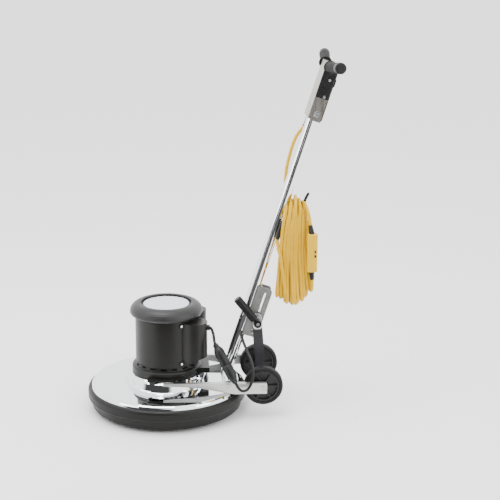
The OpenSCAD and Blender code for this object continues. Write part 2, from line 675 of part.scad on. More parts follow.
module plug() color([0.07, 0.07, 0.07]) on_handle() {
    translate([14, -28, plug_s]) {
        bar_between([0, 0, 0], [0, 0, 20], 6.5, 8.5);
        translate([0, 0, 20]) cylinder(r = 8.5, h = 32);
        translate([0, 0, 52]) cylinder(r = 9.5, h = 8);
        for (x = [-4.5, 3]) translate([x, -3, 60]) cube([1.5, 6, 17]);
        translate([0, 5.5, 60]) cylinder(r = 2.4, h = 19);
    }
}

// ---- handle lock ----

// Fork of two cheeks and a web on a sleeve that turns on the axle. The cross slot at the top
// leaves the clamp bolt room, since this pivot is the open one.
module strut() color([0.3, 0.3, 0.31]) on_strut() difference() {
    union() {
        both_sides() {
            translate([-strut_w / 2, strut_y, 0]) cube([strut_w, 3, strut_len - 26]);
            translate([-strut_w / 2, strut_y, strut_len - 26]) cube([strut_w, 5, 54]);
        }
        translate([strut_w / 2 - 3, -strut_y - 0.5, 22]) cube([3, 2 * strut_y + 1, 95]);
        bar_y(strut_w / 2, -strut_y - 3, strut_y + 3);
    }
    bar_y(axle_r + run, -40, 40);
    both_sides() translate([0, strut_y - 1, strut_len]) rotate([-90, 0, 0]) linear_extrude(8) {
        translate([-5.5, -6.7]) square([11, 13.4]);
        for (x = [-5.5, 5.5]) translate([x, 0]) circle(r = 6.7);
    }
}

// Bolt with its washers and nut, and the plastic guide that runs in the slot
module clamp_bolt() color([0.78, 0.78, 0.8]) on_handle() translate([bolt_d, 0, bolt_s]) {
    bar_y(clamp_r, -60, 44);
    bar_y(15, -strut_y - 8.6, -strut_y - 5.6);
    bar_y(15, strut_y + 5.6, strut_y + 8.6);
    bar_y(9, strut_y + 8.6, 42);
    translate([-5.9, -20, 10]) cube([11.8, 40, 20]);
    translate([-5.9, -20, -6]) cube([11.8, 40, 17]);
}

// Lever hub, arm and round grip
module clamp_lever() color([0.1, 0.1, 0.1]) on_handle() translate([bolt_d, 0, bolt_s])
    difference() {
        union() {
            bar_y(12, -58, -strut_y - 9.3);
            rotate([0, -56, 0]) translate([0, -47, 0]) {
                cylinder(r = 6, h = 20);
                translate([0, 0, 18]) cylinder(r = 12, h = 6);
                translate([0, 0, 24]) cylinder(r = 13, h = 80);
                translate([0, 0, 104]) cylinder(r1 = 13, r2 = 10, h = 3);
            }
        }
        bar_y(clamp_r + run, -61, -20);
    }

bumper();
deck_shell();
riser_collar();
motor_base();
motor_drum();
upper_end_bell();
motor_cap();
cap_disc();
cap_screws();
stator_core();
stator_windings();
lower_bearing();
upper_bearing();
left_capacitor_cover();
right_capacitor_cover();
capacitors();
cover_screws();
left_arm();
right_arm();
arm_bolts();
pivot_shaft();
axle();
axle_spacers();
motor_lead();
lead_connector();
lead_loop();
motor_shaft();
rotor_core();
cooling_fan();
drive_hub();
pad_driver();
pad();
pad_retainer();
left_tyre();
left_hub();
right_tyre();
right_hub();
handle_tube();
slotted_bracket();
head_channel();
head_side_panels();
head_rear_cover();
head_bolts();
grip_bar();
left_grip();
right_grip();
switch_block();
left_trigger();
right_trigger();
lock_button();
reset_button();
cord_gland();
cord_hook();
power_cord();
cord_hank();
protection_box();
plug();
strut();
clamp_bolt();
clamp_lever();
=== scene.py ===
import bpy
import numpy as np
from mathutils import Matrix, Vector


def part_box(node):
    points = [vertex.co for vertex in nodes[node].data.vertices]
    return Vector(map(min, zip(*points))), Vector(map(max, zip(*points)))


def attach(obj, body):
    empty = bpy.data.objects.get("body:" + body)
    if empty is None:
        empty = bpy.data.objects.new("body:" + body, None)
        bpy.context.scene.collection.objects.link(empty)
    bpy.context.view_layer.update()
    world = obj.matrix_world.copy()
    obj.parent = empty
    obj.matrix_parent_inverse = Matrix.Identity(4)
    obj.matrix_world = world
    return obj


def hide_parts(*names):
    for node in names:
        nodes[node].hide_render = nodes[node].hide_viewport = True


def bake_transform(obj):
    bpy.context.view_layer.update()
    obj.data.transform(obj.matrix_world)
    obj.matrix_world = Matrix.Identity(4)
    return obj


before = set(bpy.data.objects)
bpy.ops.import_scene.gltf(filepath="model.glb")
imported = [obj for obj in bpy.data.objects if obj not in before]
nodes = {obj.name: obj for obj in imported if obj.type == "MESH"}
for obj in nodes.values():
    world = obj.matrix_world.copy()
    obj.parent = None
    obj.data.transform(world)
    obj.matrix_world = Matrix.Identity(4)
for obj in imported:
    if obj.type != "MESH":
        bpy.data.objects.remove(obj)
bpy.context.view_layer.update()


# ---- camera ----
# The machine is seen from its left side, a little from above, with the handle leaning away to the
# right. The lens is long, as for a product picture taken from across a room.

LENS, SENSOR = 90.28, 36.0
YAW, PITCH, ROLL = np.radians([3.82, 15.36, 0.40])
forward = np.array([np.sin(YAW) * np.cos(PITCH), np.cos(YAW) * np.cos(PITCH), -np.sin(PITCH)])
level = np.array([np.cos(YAW), -np.sin(YAW), 0.0])
upright = np.cross(level, forward)
across = level * np.cos(ROLL) + upright * np.sin(ROLL)
upward = upright * np.cos(ROLL) - level * np.sin(ROLL)
camera = bpy.data.objects.new("camera", bpy.data.cameras.new("camera"))
camera.data.lens = LENS
camera.data.sensor_width = SENSOR
camera.data.clip_end = 200
placing = np.eye(4)
placing[:3, 0] = across
placing[:3, 1] = upward
placing[:3, 2] = -forward
placing[:3, 3] = (0.0115, -3.8176, 1.5696)
camera.matrix_world = Matrix(placing.tolist())
bpy.context.scene.collection.objects.link(camera)
bpy.context.scene.camera = camera


# ---- floor and light ----
# A pale painted floor under a white studio. The side behind the camera is dark, and a dark card
# lies on the floor before it, so that chrome shows a black band between bright edges.

def skin(name, rings, closed=False):
    """A surface through rings of points: a quad joins neighbouring points of neighbouring rings,
    and one polygon closes each end. closed joins the last ring to the first instead."""
    rings = np.asarray(rings, float)
    count, sides = rings.shape[:2]
    index = np.arange(count * sides).reshape(count, sides)
    low = index if closed else index[:-1]
    high = np.roll(index, -1, 0) if closed else index[1:]
    quads = np.stack([low, np.roll(low, -1, 1), np.roll(high, -1, 1), high], -1).reshape(-1, 4)
    corners = rings.reshape(-1, 3)
    p = corners[quads] - corners.mean(0)
    volume = np.einsum("ij,ij->", p[:, 0], np.cross(p[:, 1], p[:, 2]))
    volume += np.einsum("ij,ij->", p[:, 0], np.cross(p[:, 2], p[:, 3]))
    ends = [] if closed else [index[0][::-1], index[-1]]
    for end in ends:
        q = corners[end] - corners.mean(0)
        volume += np.einsum("j,ij->", q.mean(0), np.cross(q, np.roll(q, -1, 0)))
    faces = quads.tolist() + [end.tolist() for end in ends]
    if volume < 0:
        faces = [face[::-1] for face in faces]
    mesh = bpy.data.meshes.new(name)
    mesh.from_pydata(corners.tolist(), [], faces)
    mesh.shade_smooth()
    mesh.set_sharp_from_angle(angle=np.radians(38))
    piece = bpy.data.objects.new(name, mesh)
    bpy.context.scene.collection.objects.link(piece)
    return piece


def finish(name, colour, roughness, metal=0.0, mottle=0.12, patches=30.0, grain=500.0, bump=0.08,
           depth=0.0005, stretch=(1, 1, 1), wear=0.08, shine=0.5):
    """A material from two noises on Object coordinates: a coarse one varies the colour by mottle
    and the roughness by wear, and a fine one raises the surface by depth times bump. shine is the
    strength of its reflections, and stretch squeezes both noises along each axis."""
    material = bpy.data.materials.new(name)
    material.use_nodes = True
    tree = material.node_tree
    shader = tree.nodes["Principled BSDF"]
    shader.inputs["Metallic"].default_value = metal
    shader.inputs["Specular IOR Level"].default_value = shine
    place = tree.nodes.new("ShaderNodeTexCoord")
    turn = tree.nodes.new("ShaderNodeMapping")
    turn.inputs["Scale"].default_value = stretch
    tree.links.new(place.outputs["Object"], turn.inputs["Vector"])
    cloudy = tree.nodes.new("ShaderNodeTexNoise")
    cloudy.inputs["Scale"].default_value = patches
    cloudy.inputs["Detail"].default_value = 5
    cloudy.inputs["Roughness"].default_value = 0.6
    tree.links.new(turn.outputs["Vector"], cloudy.inputs["Vector"])
    mix = tree.nodes.new("ShaderNodeMix")
    mix.data_type = "RGBA"
    base = np.array(colour, float)
    mix.inputs["A"].default_value = (*np.clip(base * (1 - mottle), 0, 1), 1)
    mix.inputs["B"].default_value = (*np.clip(base * (1 + mottle), 0, 1), 1)
    tree.links.new(cloudy.outputs["Fac"], mix.inputs["Factor"])
    tree.links.new(mix.outputs["Result"], shader.inputs["Base Color"])
    rough = tree.nodes.new("ShaderNodeMapRange")
    rough.inputs["From Min"].default_value = 0.3
    rough.inputs["From Max"].default_value = 0.7
    rough.inputs["To Min"].default_value = max(roughness - wear, 0.02)
    rough.inputs["To Max"].default_value = min(roughness + wear, 1.0)
    tree.links.new(cloudy.outputs["Fac"], rough.inputs["Value"])
    tree.links.new(rough.outputs["Result"], shader.inputs["Roughness"])
    fine = tree.nodes.new("ShaderNodeTexNoise")
    fine.inputs["Scale"].default_value = grain
    fine.inputs["Detail"].default_value = 3
    tree.links.new(turn.outputs["Vector"], fine.inputs["Vector"])
    raised = tree.nodes.new("ShaderNodeBump")
    raised.inputs["Strength"].default_value = bump
    raised.inputs["Distance"].default_value = depth
    tree.links.new(fine.outputs["Fac"], raised.inputs["Height"])
    tree.links.new(raised.outputs["Normal"], shader.inputs["Normal"])
    return material


def paint(names, material):
    """Gives a material to CAD nodes, in every slot that they have."""
    for name in names:
        mesh = nodes[name].data
        if not mesh.materials:
            mesh.materials.append(material)
        for slot in range(len(mesh.materials)):
            mesh.materials[slot] = material


def dress(piece, material, slot, body, *stands_for):
    """Finishes a new piece: its material, the body it rides on and the CAD nodes that it stands
    for. The slot is not used."""
    piece.data.materials.append(material)
    if body:
        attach(piece, body)
    if stands_for:
        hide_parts(*stands_for)
    return piece


floor_white = finish("floor_white", (0.86, 0.86, 0.86), 0.75, mottle=0.01, patches=3, bump=0.02)
FLOOR_HALF, FLOOR_LINES = 60, 7
span = np.linspace(-FLOOR_HALF, FLOOR_HALF, FLOOR_LINES)
far, near = np.meshgrid(span, span, indexing="ij")
floor_mesh = bpy.data.meshes.new("floor")
tiles = np.arange(FLOOR_LINES ** 2).reshape(FLOOR_LINES, FLOOR_LINES)
floor_mesh.from_pydata(
    np.stack([far, near, np.zeros_like(far)], -1).reshape(-1, 3).tolist(), [],
    np.stack([tiles[:-1, :-1], tiles[1:, :-1], tiles[1:, 1:], tiles[:-1, 1:]], -1)
    .reshape(-1, 4).tolist())
floor = bpy.data.objects.new("floor", floor_mesh)
floor_mesh.materials.append(floor_white)
bpy.context.scene.collection.objects.link(floor)

# Only reflections see the card: it hides nothing and throws no shadow.

card_black = finish("card_black", (0.012, 0.012, 0.012), 0.9)
card_mesh = bpy.data.meshes.new("card")
card_mesh.from_pydata([(-0.32, -0.62, 0.002), (0.50, -0.62, 0.002), (8.0, -30.0, 0.002),
                       (-35.0, -20.0, 0.002)], [], [(0, 1, 2, 3)])
card = bpy.data.objects.new("card", card_mesh)
card_mesh.materials.append(card_black)
card.visible_camera = False
card.visible_diffuse = False
card.visible_shadow = False
bpy.context.scene.collection.objects.link(card)

# The studio is white all round but for a dark opening with soft edges. Its edges are cosines of the
# angle from the way that it faces.

OPENING_TOWARDS = (-0.46, -0.86, 0.20)
OPENING_STARTS, OPENING_FULL = 0.72, 0.86
STUDIO_STRENGTH = 2.7
world = bpy.data.worlds.new("studio")
bpy.context.scene.world = world
world.use_nodes = True
sky = world.node_tree
ray = sky.nodes.new("ShaderNodeTexCoord")
opening = sky.nodes.new("ShaderNodeVectorMath")
opening.operation = "DOT_PRODUCT"
opening.inputs[1].default_value = OPENING_TOWARDS
sky.links.new(ray.outputs["Generated"], opening.inputs[0])
edge = sky.nodes.new("ShaderNodeMapRange")
edge.interpolation_type = "SMOOTHSTEP"
edge.inputs["From Min"].default_value = OPENING_STARTS
edge.inputs["From Max"].default_value = OPENING_FULL
edge.inputs["To Min"].default_value = 1.0
edge.inputs["To Max"].default_value = 0.03
sky.links.new(opening.outputs["Value"], edge.inputs["Value"])
sky.links.new(edge.outputs["Result"], sky.nodes["Background"].inputs["Color"])
sky.nodes["Background"].inputs["Strength"].default_value = STUDIO_STRENGTH


def softbox(name, place, target, size, power):
    """A square area light at place, turned to face target."""
    lamp = bpy.data.objects.new(name, bpy.data.lights.new(name, "AREA"))
    lamp.data.shape = "SQUARE"
    lamp.data.size = size
    lamp.data.energy = power
    back = np.array(place, float) - np.array(target, float)
    back /= np.linalg.norm(back)
    side = np.cross((0.0, 0.0, 1.0), back)
    side /= np.linalg.norm(side)
    frame_of_lamp = np.eye(4)
    frame_of_lamp[:3, 0] = side
    frame_of_lamp[:3, 1] = np.cross(back, side)
    frame_of_lamp[:3, 2] = back
    frame_of_lamp[:3, 3] = place
    lamp.matrix_world = Matrix(frame_of_lamp.tolist())
    bpy.context.scene.collection.objects.link(lamp)


softbox("overhead", (-0.6, -0.5, 3.4), (0.1, 0.0, 0.3), 2.2, 110)
softbox("left_fill", (-3.0, -1.6, 1.8), (0.1, 0.0, 0.4), 1.8, 45)
softbox("right_fill", (2.8, -1.8, 1.6), (0.2, 0.0, 0.5), 1.4, 25)


# ---- power cord ----
# Three-core cord in a yellow vinyl jacket, 14.9 m long and 10.5 mm thick. It leaves a gland under
# the head, goes down behind the tube and hangs in 19 loops over the hook, and its last strand runs
# through the protection box and up to the plug.

TILT = np.radians(17.75)
PIVOT = np.array([0.192, 0.0, 0.1135])
BEHIND = np.array([np.cos(TILT), 0.0, -np.sin(TILT)])
ALONG = np.array([np.sin(TILT), 0.0, np.cos(TILT)])
RIGHT = np.array([0.0, 1.0, 0.0])
SLANT = np.array([0.31, 0.87, 0.38])


def on_handle(points):
    """Points given as behind the tube's centre line, right and along the tube, in the frame."""
    points = np.atleast_2d(np.asarray(points, float))
    return PIVOT + points[:, :1] * BEHIND + points[:, 1:2] * RIGHT + points[:, 2:] * ALONG


def smooth(points, steps):
    """A Catmull-Rom curve through the points, with steps stretches between each two."""
    p = np.asarray(points, float)
    p = np.vstack([2 * p[0] - p[1], p, 2 * p[-1] - p[-2]])
    t = (np.arange(steps) / steps)[None, :, None]
    a, b, c, d = (p[i:len(p) - 3 + i][:, None, :] for i in range(4))
    curve = 0.5 * (2 * b + (c - a) * t + (2 * a - 5 * b + 4 * c - d) * t ** 2
                   + (3 * b - a - 3 * c + d) * t ** 3)
    return np.vstack([curve.reshape(-1, 3), p[-2]])


def even(path, step):
    """The same path with its points a fixed step apart."""
    gone = np.concatenate([[0], np.cumsum(np.linalg.norm(np.diff(path, axis=0), axis=1))])
    stops = np.linspace(0, gone[-1], max(int(gone[-1] / step), 4) + 1)
    return np.stack([np.interp(stops, gone, path[:, k]) for k in range(3)], 1), gone[-1]


def along(path):
    """Unit vectors ahead, aside and over at each point of a path: aside is square to the path and
    to SLANT, a fixed direction that no stretch follows."""
    ahead = np.gradient(path, axis=0)
    ahead /= np.linalg.norm(ahead, axis=1, keepdims=True)
    aside = np.cross(ahead, SLANT)
    aside /= np.linalg.norm(aside, axis=1, keepdims=True)
    return ahead, aside, np.cross(aside, ahead)


def tube(name, path, radius, sides=14):
    """A tube: circles of the given radius, or of one radius at each point, square to the path."""
    _, aside, over = along(path)
    a = np.arange(sides) * 2 * np.pi / sides
    radius = np.broadcast_to(radius, (len(path),))[:, None, None]
    ring = (aside[:, None, :] * np.cos(a)[None, :, None]
            + over[:, None, :] * np.sin(a)[None, :, None])
    return skin(name, path[:, None, :] + radius * ring)


CORD, CORD_STEP = 0.0105, 0.0085
gland_route = on_handle([
    [-0.010, 0.034, 0.830], [-0.017, 0.034, 0.814], [-0.024, 0.033, 0.792], [-0.026, 0.032, 0.760],
    [-0.024, 0.032, 0.720], [-0.020, 0.031, 0.684], [-0.012, 0.031, 0.649], [0.000, 0.032, 0.620],
    [0.014, 0.030, 0.598]])

# Each loop goes once round in Y and Z: a half circle over the hook, down the far side, a half
# circle at the bottom and up the near side. Loops are stacked on the hook in columns, and the
# place along X runs through four values per loop, for its top, far side, bottom and near side.
draw = np.random.default_rng(11)
column = np.repeat(np.arange(5), [3, 4, 5, 4, 3])
LOOPS = len(column)
number = np.arange(LOOPS)
outer = number % 2
top_half = 0.0315 + 0.0085 * outer
foot_half = 0.0330 + 0.0090 * outer
top = 0.6505 + 0.0102 * (number - np.searchsorted(column, column))
top_x = 0.3835 + 0.0110 * column
spread = 0.3620 + 0.0870 * number / (LOOPS - 1)
foot_x = spread + np.where(outer, 0.0180, -0.0080) + draw.uniform(-0.006, 0.006, LOOPS)
foot = np.interp(foot_x, [0.366, 0.380, 0.394, 0.406, 0.420, 0.440, 0.458],
                 [0.366, 0.357, 0.337, 0.352, 0.337, 0.366, 0.388])
foot += draw.uniform(-0.007, 0.007, LOOPS)
over_hook = np.radians(np.linspace(-75, 75, 6))
round_foot = np.radians(np.linspace(15, 165, 6))
down = np.linspace(0.1, 0.9, 5)
r, q, next_r = top_half[:, None], foot_half[:, None], np.append(top_half[1:], top_half[-1])[:, None]
high, low = (top - top_half)[:, None], (foot + foot_half)[:, None]
next_high = np.append(high[1:, 0], high[-1, 0])[:, None]
loop_y = np.concatenate([r * np.sin(over_hook), r + (q - r) * down, q * np.cos(round_foot),
                         (q - next_r) * down - q], 1)
loop_z = np.concatenate([high + r * np.cos(over_hook), high + (low - high) * down,
                         low - q * np.sin(round_foot), low + (next_high - low) * down], 1)
PER_LOOP = loop_y.shape[1]
stops_x = np.stack([
    top_x, spread + draw.uniform(-0.005, 0.005, LOOPS), foot_x,
    spread + np.where(outer, 0.0045, -0.0050) + draw.uniform(-0.004, 0.004, LOOPS)], 1).ravel()
stops_at = (number[:, None] * PER_LOOP + np.array([2.5, 8.0, 13.5, 19.0])).ravel()
loop_x = np.interp(np.arange(-3, LOOPS * PER_LOOP + 3), stops_at, stops_x)
loop_x = np.convolve(loop_x, np.ones(7) / 7, "valid")
hank = np.stack([loop_x, loop_y.ravel(), loop_z.ravel()], -1)[5:]

# After the last loop the cord goes down behind, turns and climbs through the protection box, goes
# over the hook again, slants down behind the whole hank and comes up on its left to the plug.
box_route = np.array([
    [0.4315, -0.030, 0.628], [0.433, -0.018, 0.649], [0.435, 0.002, 0.657],
    [0.4365, 0.022, 0.649], [0.4385, 0.033, 0.626], [0.447, 0.043, 0.580],
    [0.453, 0.045, 0.510], [0.457, 0.041, 0.440],
    [0.460, 0.029, 0.404], [0.461, 0.000, 0.386], [0.461, -0.032, 0.393], [0.460, -0.052, 0.414],
    [0.459, -0.058, 0.437], [0.458, -0.061, 0.470], [0.457, -0.061, 0.520], [0.454, -0.061, 0.570],
    [0.450, -0.058, 0.613], [0.446, -0.049, 0.641], [0.440, -0.028, 0.664], [0.434, 0.000, 0.672],
    [0.428, 0.028, 0.664], [0.421, 0.048, 0.640], [0.412, 0.055, 0.585], [0.401, 0.055, 0.500],
    [0.391, 0.053, 0.425], [0.384, 0.042, 0.377], [0.380, 0.012, 0.352], [0.378, -0.020, 0.356],
    [0.376, -0.043, 0.388], [0.369, -0.050, 0.440], [0.363, -0.049, 0.480]])
plug_route = on_handle([[0.038, -0.046, 0.430], [0.030, -0.042, 0.440], [0.022, -0.034, 0.454],
                        [0.014, -0.028, 0.474]])
cord_route = np.vstack([gland_route, hank, box_route, plug_route])
cord_path, cord_length = even(smooth(cord_route, 5), CORD_STEP)
yellow = finish("yellow_jacket", (0.58, 0.335, 0.001), 0.42, shine=0.25, mottle=0.16, patches=14,
                grain=900, bump=0.12, depth=0.0003, wear=0.06)
power_cord = dress(tube("cord", cord_path, CORD / 2, 12), yellow, "yellow_jacket", "handle",
                   "power_cord", "cord_hank")


def rounded(half_a, half_b, corner, per_corner=6):
    """A rectangle with round corners: a quarter circle at each, given as points in the plane."""
    a = np.linspace(0, np.pi / 2, per_corner)[None, :] + np.arange(4)[:, None] * np.pi / 2
    signs = np.array([[1, 1], [-1, 1], [-1, -1], [1, -1]])[:, None, :]
    arcs = np.stack([np.cos(a), np.sin(a)], -1) * corner
    return (signs * np.array([half_a - corner, half_b - corner]) + arcs).reshape(-1, 2)


def block(name, centre, axes, halves, corner, edge):
    """A block with round corners along its third axis and round edges at both ends: the outline
    draws in at each end by a quarter circle of radius edge."""
    a = np.linspace(0, np.pi / 2, 5)
    draw_in = edge * (1 - np.sin(a))
    heights = np.concatenate([edge * (1 - np.cos(a)) - halves[2],
                              halves[2] - edge * (1 - np.cos(a[::-1]))])
    insets = np.concatenate([draw_in, draw_in[::-1]])
    axes = np.asarray(axes, float)
    rings = np.stack([
        np.asarray(centre)
        + rounded(halves[0] - i, halves[1] - i, max(corner - i, 0.0002)) @ axes[:2]
        + z * axes[2] for z, i in zip(heights, insets)])
    return skin(name, rings)


def turned(name, start, end, outline, sides=48):
    """A turned piece: a circle for each (distance, radius) of its outline, square to the line from
    start to end."""
    start, end = np.asarray(start, float), np.asarray(end, float)
    ahead = (end - start) / np.linalg.norm(end - start)
    aside = np.cross(ahead, SLANT)
    aside /= np.linalg.norm(aside)
    a = np.arange(sides) * 2 * np.pi / sides
    ring = np.outer(np.cos(a), aside) + np.outer(np.sin(a), np.cross(ahead, aside))
    outline = np.asarray(outline, float)
    return skin(name, start + outline[:, 0, None, None] * ahead + outline[:, 1, None, None] * ring)


def ribbed(length, thick, thin, ribs, deep):
    """The outline of a tapered sleeve whose radius goes from thick to thin, with round ribs."""
    d = np.linspace(0, length, ribs * 6 + 1)
    wave = deep * np.cos(d / length * ribs * 2 * np.pi)
    return np.stack([d, thick + (thin - thick) * d / length + wave - deep], 1)


# Yellow moulded housing of the leakage protection, with two small buttons and a black ribbed
# sleeve at each end.

yellow_box = finish("yellow_box", (0.62, 0.37, 0.002), 0.36, shine=0.3, mottle=0.05, patches=40,
                    grain=1400, bump=0.08, depth=0.0002)
black_moulded = finish("black_moulded", (0.006, 0.006, 0.006), 0.42, shine=0.3, mottle=0.2,
                       patches=60, grain=1300, bump=0.15, depth=0.0003)
green_moulded = finish("green_moulded", (0.01, 0.06, 0.02), 0.35, mottle=0.1, grain=900)
WORLD_AXES = np.eye(3)
BOX = (0.457, -0.0615, 0.525)
box = dress(block("box_housing", BOX, WORLD_AXES, (0.016, 0.0155, 0.061),
                  0.006, 0.004), yellow_box, "box_plastic", "handle", "protection_box")
box_seam = dress(block("box_seam", BOX, WORLD_AXES[[0, 2, 1]],
                       (0.0163, 0.0595, 0.0012), 0.005, 0.0004),
                 yellow_box, "box_plastic", "handle")
buttons = [dress(block(f"box_button_{k}", (0.4655, -0.0773, z), WORLD_AXES[[0, 2, 1]],
                       (0.0028, 0.0042, 0.0012), 0.001, 0.0006), material, "black_rubber", "handle")
           for k, (z, material) in enumerate([(0.5310, green_moulded), (0.5165, black_moulded)])]
sleeves = [dress(turned(f"box_sleeve_{k}", start, end, ribbed(0.0272, 0.0095, 0.0070, 6, 0.0006)),
                 black_moulded, "black_rubber", "handle")
           for k, (start, end) in enumerate([
               ((0.455, -0.061, 0.586), (0.450, -0.058, 0.613)),
               ((0.456, -0.061, 0.464), (0.459, -0.058, 0.437))])]

# Moulded three-pin plug, with a ribbed neck and two blades and a round earth pin of brass.

PLUG = on_handle([0.014, -0.028, 0.474])[0]
bright_metal = finish("bright_metal", (0.72, 0.70, 0.64), 0.25, metal=1.0, mottle=0.06, grain=700)
plug_outline = np.vstack([
    ribbed(0.020, 0.0066, 0.0086, 4, 0.0005),
    [[0.022, 0.0084], [0.050, 0.0085], [0.052, 0.0093], [0.058, 0.0095], [0.060, 0.0088]]])
plug = dress(turned("plug_body", PLUG, PLUG + ALONG, plug_outline), black_moulded, "black_rubber",
             "handle", "plug")
blades = [dress(block(f"plug_blade_{k}", PLUG + at * BEHIND + 0.068 * ALONG,
                      (BEHIND, RIGHT, ALONG), (0.00075, 0.003, 0.0088), 0.0007, 0.0005),
                bright_metal, "clamp_zinc", "handle") for k, at in enumerate([-0.00375, 0.00375])]
earth_pin = dress(turned("plug_pin", PLUG + 0.0055 * RIGHT + 0.059 * ALONG,
                         PLUG + 0.0055 * RIGHT + 0.08 * ALONG,
                         [[0, 0.0024], [0.0175, 0.0024], [0.0192, 0.0012], [0.0195, 0.0003]], 24),
                  bright_metal, "clamp_zinc", "handle")

# Ribbed sleeve and nut where the cord leaves the head.

gland_top = on_handle([-0.004, 0.034, 0.862])[0]
dress(turned("gland_sleeve", gland_top, gland_route[0], ribbed(0.034, 0.0098, 0.0066, 7, 0.0006)),
      black_moulded, "black_rubber", "handle")
dress(turned("gland_nut", gland_top, gland_top + ALONG,
             [[-0.0012, 0.0095], [0.0, 0.0112], [0.010, 0.0112], [0.0102, 0.0079],
              [0.022, 0.0079]], 6), black_moulded, "black_rubber", "handle", "cord_gland")


# ---- motor lead ----
# Black rubber lead from the left capacitor cover to a moulded in-line connector, and on in a
# loose loop to the hole in the handle's tube.

LEAD, LEAD_STEP = 0.009, 0.003
black_jacket = finish("black_jacket", (0.006, 0.006, 0.006), 0.4, shine=0.3, mottle=0.15,
                      patches=25, grain=900, bump=0.12, depth=0.0003)
lead_route = [[0.132, -0.062, 0.283], [0.137, -0.062, 0.283], [0.143, -0.065, 0.277],
              [0.148, -0.077, 0.262], [0.150, -0.090, 0.247], [0.152, -0.098, 0.240]]
loop_route = [[0.214, -0.156, 0.131], [0.222, -0.159, 0.116], [0.235, -0.159, 0.105],
              [0.251, -0.155, 0.108], [0.264, -0.149, 0.127], [0.270, -0.139, 0.155],
              [0.266, -0.122, 0.184], [0.256, -0.098, 0.207], [0.246, -0.070, 0.227],
              [0.239, -0.045, 0.243], [0.2362, -0.028, 0.251], [0.2362, -0.014, 0.2516]]
lead_path, lead_length = even(smooth(lead_route, 6), LEAD_STEP)
lead = dress(tube("motor_lead_upper", lead_path, LEAD / 2, 16), black_jacket, "black_rubber",
             "base", "motor_lead")
loop_path, loop_length = even(smooth(loop_route, 8), LEAD_STEP)
loop = dress(tube("motor_lead_loop", loop_path, LEAD / 2, 16), black_jacket, "black_rubber",
             None, "lead_loop")
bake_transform(loop)
connector_start = np.array([0.152, -0.098, 0.240])
connector_end = np.array([0.214, -0.156, 0.131])
length = np.linalg.norm(connector_end - connector_start)
neck = ribbed(0.014, 0.0085, 0.0110, 3, 0.0006)
body = np.array([[0.0145, 0.0120], [0.0170, 0.0128], [0.0235, 0.0153], [0.0260, 0.0160],
                 [0.0660, 0.0160], [0.0675, 0.0152], [0.0690, 0.0152], [0.0700, 0.0168],
                 [0.0740, 0.0168], [0.0750, 0.0152], [0.0760, 0.0152], [0.0775, 0.0160],
                 [0.1120, 0.0160], [0.1150, 0.0152], [0.1220, 0.0130], [0.1250, 0.0122]])
TAIL_FROM = 0.1255
tail = ribbed(length - TAIL_FROM, 0.0112, 0.0088, 3, 0.0006)
tail[:, 0] += TAIL_FROM
connector = dress(turned("lead_connector_body", connector_start, connector_end,
                         np.vstack([neck, body, tail])),
                  black_moulded, "black_rubber", "base", "lead_connector")


# ---- deck and bumper ----
# The deck is spun from steel and chromed, with a flared collar under the motor, and a moulded
# rubber bumper is stretched round its rim.

chrome = finish("deck_chrome", (0.80, 0.82, 0.84), 0.045, metal=1.0, mottle=0.03, patches=9,
                grain=240, bump=0.02, depth=0.0002, wear=0.02)
paint(["deck_shell", "riser_collar"], chrome)
paint(["bumper"], finish("bumper_rubber", (0.0065, 0.0065, 0.006), 0.46, shine=0.2, mottle=0.25,
                         patches=22, grain=700, bump=0.15, depth=0.0004))


# ---- motor ----
# Drawn steel drum and covers in textured black paint on a cast base, and a moulded cap with a
# plain metal disc let into its top.

motor_black = finish("motor_paint", (0.0070, 0.0068, 0.0060), 0.34, shine=0.25, mottle=0.2,
                     patches=18, grain=650, bump=0.22, depth=0.0004, wear=0.05)
paint(["motor_base", "motor_drum", "left_capacitor_cover", "right_capacitor_cover"], motor_black)
paint(["motor_cap"], finish("cap_plastic", (0.019, 0.019, 0.019), 0.42, shine=0.3, mottle=0.10,
                            patches=30, grain=1100, bump=0.22, depth=0.0004))
paint(["cap_disc"], finish("disc_metal", (0.74, 0.76, 0.80), 0.22, metal=0.85, mottle=0.03,
                           grain=900, bump=0.03, stretch=(1, 14, 1)))
paint(["cap_screws", "arm_bolts"], finish("black_oxide", (0.03, 0.03, 0.032), 0.38, metal=0.5,
                                          mottle=0.15, grain=900))
paint(["cover_screws", "head_bolts"], finish("zinc_screws", (0.70, 0.70, 0.72), 0.24, metal=1.0,
                                             mottle=0.08, patches=200, grain=1500))
machined = finish("machined_steel", (0.44, 0.44, 0.46), 0.30, metal=1.0, mottle=0.1, patches=50,
                  grain=900, bump=0.08, stretch=(1, 1, 6))
paint(["stator_core", "motor_shaft", "rotor_core", "drive_hub", "lower_bearing", "upper_bearing"],
      machined)
paint(["upper_end_bell"], finish("cast_aluminium", (0.46, 0.46, 0.47), 0.55, metal=0.9,
                                 mottle=0.14, patches=60, grain=450, bump=0.35, depth=0.0006))
paint(["stator_windings"], finish("copper_wire", (0.50, 0.19, 0.06), 0.33, metal=0.8, mottle=0.3,
                                  patches=160, grain=600, bump=0.5, depth=0.001,
                                  stretch=(1, 1, 5)))
paint(["capacitors"], finish("capacitor_can", (0.05, 0.06, 0.09), 0.3, mottle=0.1, grain=800))
paint(["cooling_fan"], finish("fan_plastic", (0.04, 0.04, 0.045), 0.5, mottle=0.12, grain=900))


# ---- pad ----
# A moulded driver carries a disc of non-woven fibre, held by a threaded retainer in its centre.

